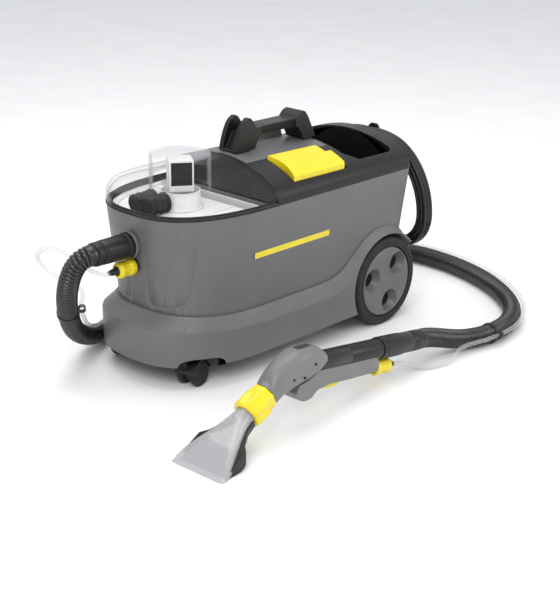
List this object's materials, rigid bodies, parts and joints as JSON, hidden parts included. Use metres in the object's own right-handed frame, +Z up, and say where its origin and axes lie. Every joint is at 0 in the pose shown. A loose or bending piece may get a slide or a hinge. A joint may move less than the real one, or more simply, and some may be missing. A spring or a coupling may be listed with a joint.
{
  "type": "carpet cleaner machine",
  "caption": "Wheeled spray-extraction carpet cleaner with clear domed lid, black arched cover, rear wheels, corrugated hose, coiled cable and a wide hand nozzle.",
  "frame": {"origin": "on the floor, below the centre of the machine and hand tool together, measured without the loose hose, tube and cable", "axes": "+X from the hose side towards the wheels and cable, +Y away from the side with the rocker switches, +Z up"},
  "size_m": [1.0844, 0.6263, 0.442],
  "materials": {
    "body_grey": "fine-grained mid-grey moulding",
    "light_grey": "satin light-grey moulding",
    "black_plastic": "satin black moulding",
    "yellow_plastic": "semi-gloss bright yellow",
    "white_plastic": "satin off-white",
    "clear_plastic": "clear gloss",
    "clear_tube": "clear flexible tube, slightly milky",
    "rubber_black": "matte rubber",
    "tyre_rubber": "dark grey moulded tyre",
    "hose_black": "satin black corrugated hose",
    "cable_black": "satin black cable sheath",
    "steel": "brushed",
    "brass": "turned"
  },
  "bodies": {
    "machine": {"chassis_bumper": "body_grey", "fresh_water_tank": "body_grey", "top_frame": "black_plastic", "fill_liner": "black_plastic", "deck_plate": "body_grey", "carry_handle": "black_plastic", "base_cover": "black_plastic", "vacuum_motor": "steel", "fan_housing": "black_plastic", "spray_pump": "black_plastic", "pump_line": "rubber_black", "water_filter": "white_plastic", "suction_port": "body_grey", "spray_port": "black_plastic", "port_nipple": "black_plastic", "cable_saddle": "black_plastic", "cable_gland": "black_plastic", "power_hank": "cable_black", "mains_plug": "cable_black", "suction_hose": "hose_black", "spray_tube": "clear_tube", "hose_clip_1": "black_plastic", "hose_clip_2": "black_plastic", "hose_clip_3": "black_plastic", "power_lead": "cable_black", "nozzle_clear": "clear_plastic", "nozzle_back": "black_plastic", "tool_elbow": "light_grey", "tool_head": "light_grey", "grip_tube": "black_plastic", "tool_lower_shell": "light_grey", "valve_body": "brass", "tool_nipple": "black_plastic", "axle_stub_near": "steel", "axle_stub_far": "steel"},
    "wheel_near": {"wheel_disc_near": "body_grey", "tyre_near": "tyre_rubber"},
    "wheel_far": {"wheel_disc_far": "body_grey", "tyre_far": "tyre_rubber"},
    "caster_near": {"caster_fork_near": "black_plastic"},
    "caster_far": {"caster_fork_far": "black_plastic"},
    "caster_roller_near": {"caster_wheel_near": "rubber_black"},
    "caster_roller_far": {"caster_wheel_far": "rubber_black"},
    "suction_rocker": {"suction_switch": "yellow_plastic"},
    "spray_rocker": {"spray_switch": "yellow_plastic"},
    "tank": {"waste_tank": "white_plastic", "tank_deck": "white_plastic", "inlet_elbow": "black_plastic", "float_cage": "white_plastic", "lint_filter": "black_plastic"},
    "lid": {"lid": "clear_plastic", "lid_seal": "rubber_black"},
    "float": {"float": "white_plastic"},
    "machine_cuff": {"machine_cuff": "black_plastic"},
    "port_sleeve": {"port_sleeve": "yellow_plastic"},
    "tool_sleeve": {"tool_sleeve": "yellow_plastic"},
    "cable_keeper": {"cable_keeper": "black_plastic"},
    "trigger": {"trigger": "yellow_plastic"},
    "union_nut": {"union_nut": "yellow_plastic"},
    "tool_cuff": {"tool_cuff": "black_plastic"}
  },
  "joints": [
    {"name": "wheel_near_roll", "type": "hinge", "parent": "machine", "child": "wheel_near", "pos_m": [0.28416, -0.01661, 0.0914], "axis": [0, 1, 0], "continuous": true},
    {"name": "wheel_far_roll", "type": "hinge", "parent": "machine", "child": "wheel_far", "pos_m": [0.28416, 0.26089, 0.0914], "axis": [0, 1, 0], "continuous": true},
    {"name": "caster_near_swivel", "type": "hinge", "parent": "machine", "child": "caster_near", "pos_m": [-0.17644, 0.03014, 0.055], "axis": [0, 0, 1], "continuous": true},
    {"name": "caster_near_roll", "type": "hinge", "parent": "caster_near", "child": "caster_roller_near", "pos_m": [-0.19101, 0.02661, 0.024], "axis": [-0.2351, 0.972, 0], "continuous": true},
    {"name": "caster_far_swivel", "type": "hinge", "parent": "machine", "child": "caster_far", "pos_m": [-0.17644, 0.21414, 0.055], "axis": [0, 0, 1], "continuous": true},
    {"name": "caster_far_roll", "type": "hinge", "parent": "caster_far", "child": "caster_roller_far", "pos_m": [-0.19101, 0.21061, 0.024], "axis": [-0.2351, 0.972, 0], "continuous": true},
    {"name": "suction_rocker_press", "type": "hinge", "parent": "machine", "child": "suction_rocker", "pos_m": [0.10056, 0.04414, 0.364], "axis": [0, 1, 0], "range_deg": [0, 3]},
    {"name": "spray_rocker_press", "type": "hinge", "parent": "machine", "child": "spray_rocker", "pos_m": [0.10356, 0.01114, 0.35], "axis": [0, 1, 0], "range_deg": [0, 2.4]},
    {"name": "tank_lift", "type": "slide", "parent": "machine", "child": "tank", "axis": [0, 0, 1], "range_m": [0, 0.25]},
    {"name": "lid_lift", "type": "slide", "parent": "tank", "child": "lid", "axis": [0, 0, 1], "range_m": [0, 0.12]},
    {"name": "float_rise", "type": "slide", "parent": "tank", "child": "float", "axis": [0, 0, 1], "range_m": [0, 0.035]},
    {"name": "machine_cuff_turn", "type": "hinge", "parent": "machine", "child": "machine_cuff", "pos_m": [-0.27444, 0.12214, 0.256], "axis": [1, 0, 0], "continuous": true},
    {"name": "port_sleeve_slide", "type": "slide", "parent": "machine", "child": "port_sleeve", "axis": [-1, 0, 0], "range_m": [0, 0.005], "stiffness_N_per_m": 400, "springref_m": -0.002},
    {"name": "tool_sleeve_slide", "type": "slide", "parent": "machine", "child": "tool_sleeve", "axis": [0.9873, 0.0259, -0.1564], "range_m": [0, 0.005], "stiffness_N_per_m": 400, "springref_m": -0.002},
    {"name": "cable_keeper_turn", "type": "hinge", "parent": "machine", "child": "cable_keeper", "pos_m": [0.41356, 0.12214, 0.326], "axis": [1, 0, 0], "range_deg": [0, 180]},
    {"name": "trigger_squeeze", "type": "hinge", "parent": "machine", "child": "trigger", "pos_m": [-0.12113, -0.21554, 0.07], "axis": [0.0262, -0.9997, 0], "range_deg": [0, 7], "stiffness_Nm_per_rad": 0.6, "springref_deg": -4.58},
    {"name": "union_nut_turn", "type": "hinge", "parent": "machine", "child": "union_nut", "pos_m": [-0.30907, -0.22046, 0.057], "axis": [0.906, 0.0237, 0.4226], "continuous": true},
    {"name": "tool_cuff_turn", "type": "hinge", "parent": "machine", "child": "tool_cuff", "pos_m": [-0.15012, -0.2163, 0.1012], "axis": [0.9873, 0.0259, -0.1564], "continuous": true}
  ]
}
